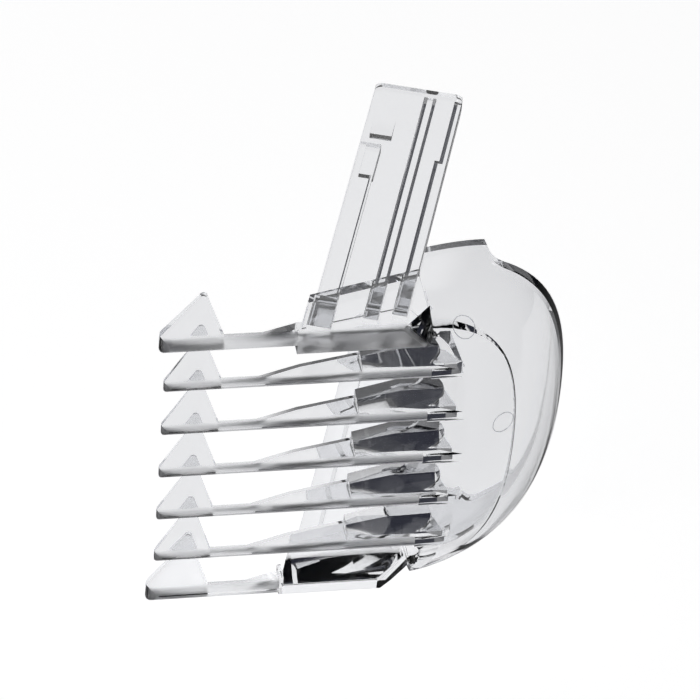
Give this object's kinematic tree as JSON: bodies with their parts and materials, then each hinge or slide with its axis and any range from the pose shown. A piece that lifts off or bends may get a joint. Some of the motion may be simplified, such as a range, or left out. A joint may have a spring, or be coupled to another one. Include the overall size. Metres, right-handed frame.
{
  "type": "hair clipper guide comb",
  "caption": "Clear plastic guide comb for a hair clipper: a row of flat teeth with triangular tips, a rounded back and two long slide arms that clip to the clipper.",
  "frame": {"origin": "middle of the bounding box in X and Y, on the lower side face in Z; the comb lies on its side as in the picture", "axes": "X from the tooth tips to the rounded back, Y away from the skin side and up the slide arms, Z across the row of teeth and up"},
  "size_m": [0.0542, 0.0508, 0.0432],
  "materials": {
    "clear_plastic": "polished clear moulded plastic, uncoloured"
  },
  "bodies": {
    "comb": {"back_shell": "clear_plastic", "lower_end_tooth": "clear_plastic", "tooth_2": "clear_plastic", "tooth_3": "clear_plastic", "tooth_4": "clear_plastic", "tooth_5": "clear_plastic", "tooth_6": "clear_plastic", "upper_end_tooth": "clear_plastic", "lower_arm_root": "clear_plastic", "upper_arm_root": "clear_plastic"},
    "upper_arm": {"upper_arm": "clear_plastic"},
    "lower_arm": {"lower_arm": "clear_plastic"}
  },
  "joints": [
    {"name": "upper_arm_flex", "type": "hinge", "parent": "comb", "child": "upper_arm", "pos_m": [-0.00133, -0.01953, 0.04195], "axis": [0.9455, -0.3256, 0], "range_deg": [-1.5, 0.85], "stiffness_Nm_per_rad": 0.6},
    {"name": "lower_arm_flex", "type": "hinge", "parent": "comb", "child": "lower_arm", "pos_m": [-0.00133, -0.01953, 0.00125], "axis": [0.9455, -0.3256, 0], "range_deg": [-0.85, 1.5], "stiffness_Nm_per_rad": 0.6}
  ]
}
